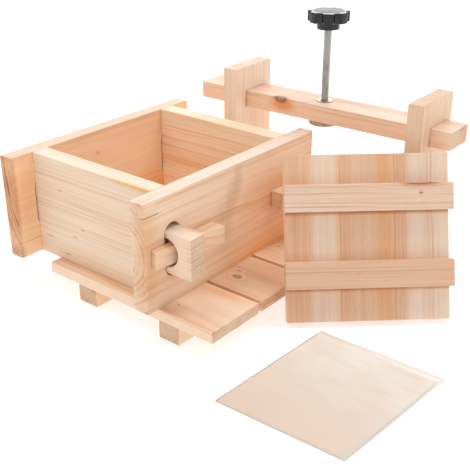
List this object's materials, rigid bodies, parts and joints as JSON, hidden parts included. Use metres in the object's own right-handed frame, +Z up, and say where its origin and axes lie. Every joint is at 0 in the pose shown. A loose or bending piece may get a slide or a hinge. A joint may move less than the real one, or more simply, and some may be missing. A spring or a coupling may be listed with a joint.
{
  "type": "tofu press",
  "caption": "Wooden tofu press: a mould of wedged boards, a slatted base, a frame with a screw and star knob, a battened cover and a straining cloth.",
  "frame": {"origin": "centre of the mould's footprint, on the surface that everything stands on", "axes": "+X to the right along the mould's end boards, +Y to the back along its side boards, +Z up"},
  "size_m": [0.4279, 0.3148, 0.2399],
  "materials": {
    "mould_pine": "planed, unvarnished",
    "base_pine": "planed, unvarnished",
    "wedge_pine": "planed, unvarnished",
    "frame_pine": "planed, unvarnished",
    "cover_pine": "planed, unvarnished",
    "brad_steel": "dull",
    "nut_steel": "satin",
    "rod_steel": "satin",
    "insert_brass": "satin",
    "knob_black": "gloss",
    "cotton": "fine weave"
  },
  "bodies": {
    "base": {"plank_front": "base_pine", "plank_middle": "base_pine", "plank_rear": "base_pine", "batten_left": "base_pine", "batten_right": "base_pine", "base_brads": "brad_steel"},
    "mould": {"side_board_left": "mould_pine", "side_board_right": "mould_pine", "end_board_front": "mould_pine", "end_board_rear": "mould_pine"},
    "wedge_front_left": {"wedge_front_left": "wedge_pine"},
    "wedge_front_right": {"wedge_front_right": "wedge_pine"},
    "wedge_rear_left": {"wedge_rear_left": "wedge_pine"},
    "wedge_rear_right": {"wedge_rear_right": "wedge_pine"},
    "press_frame": {"post_left": "frame_pine", "post_right": "frame_pine", "stretcher": "frame_pine"},
    "beam": {"screw_beam": "frame_pine", "flanged_nut": "nut_steel"},
    "rod": {"screw_rod": "rod_steel"},
    "knob": {"knob_insert": "insert_brass", "knob_body": "knob_black", "knob_cap": "knob_black"},
    "cover": {"cover_plank_left": "cover_pine", "cover_plank_middle": "cover_pine", "cover_plank_right": "cover_pine", "cover_batten_lower": "cover_pine", "cover_batten_upper": "cover_pine", "cover_brads": "brad_steel"},
    "cloth": {"press_cloth": "cotton"}
  },
  "joints": [
    {"name": "mould_lift", "type": "slide", "parent": "base", "child": "mould", "axis": [0, 0, 1], "range_m": [0, 0.15]},
    {"name": "wedge_front_left_draw", "type": "slide", "parent": "mould", "child": "wedge_front_left", "axis": [0, 1, 0], "range_m": [0, 0.0353]},
    {"name": "wedge_front_right_draw", "type": "slide", "parent": "mould", "child": "wedge_front_right", "axis": [0, 1, 0], "range_m": [0, 0.0353]},
    {"name": "wedge_rear_left_draw", "type": "slide", "parent": "mould", "child": "wedge_rear_left", "axis": [0, -1, 0], "range_m": [0, 0.0415]},
    {"name": "wedge_rear_right_draw", "type": "slide", "parent": "mould", "child": "wedge_rear_right", "axis": [0, -1, 0], "range_m": [0, 0.0415]},
    {"name": "frame_lift", "type": "slide", "parent": "base", "child": "press_frame", "axis": [0, 0, 1], "range_m": [0, 0.2]},
    {"name": "beam_slide", "type": "slide", "parent": "press_frame", "child": "beam", "axis": [0.9998, 0.0209, 0], "range_m": [-0.0195, 0.0425]},
    {"name": "screw_feed", "type": "slide", "parent": "beam", "child": "rod", "axis": [0, 0, -1], "range_m": [0, 0.0701]},
    {"name": "knob_turn", "type": "hinge", "parent": "rod", "child": "knob", "pos_m": [0.08715, 0.14233, 0.2224], "axis": [0, 0, -1], "range_deg": [0, 20160]},
    {"name": "cover_lift", "type": "slide", "parent": "base", "child": "cover", "axis": [0, 0, 1], "range_m": [0, 0.18]},
    {"name": "cloth_lift", "type": "slide", "parent": "base", "child": "cloth", "axis": [0.5795, -0.6436, 0.5], "range_m": [0, 0.12]}
  ],
  "couplings": [
    {"joint": "screw_feed", "follows": "knob_turn", "m_per_rad": 0.00019894}
  ]
}
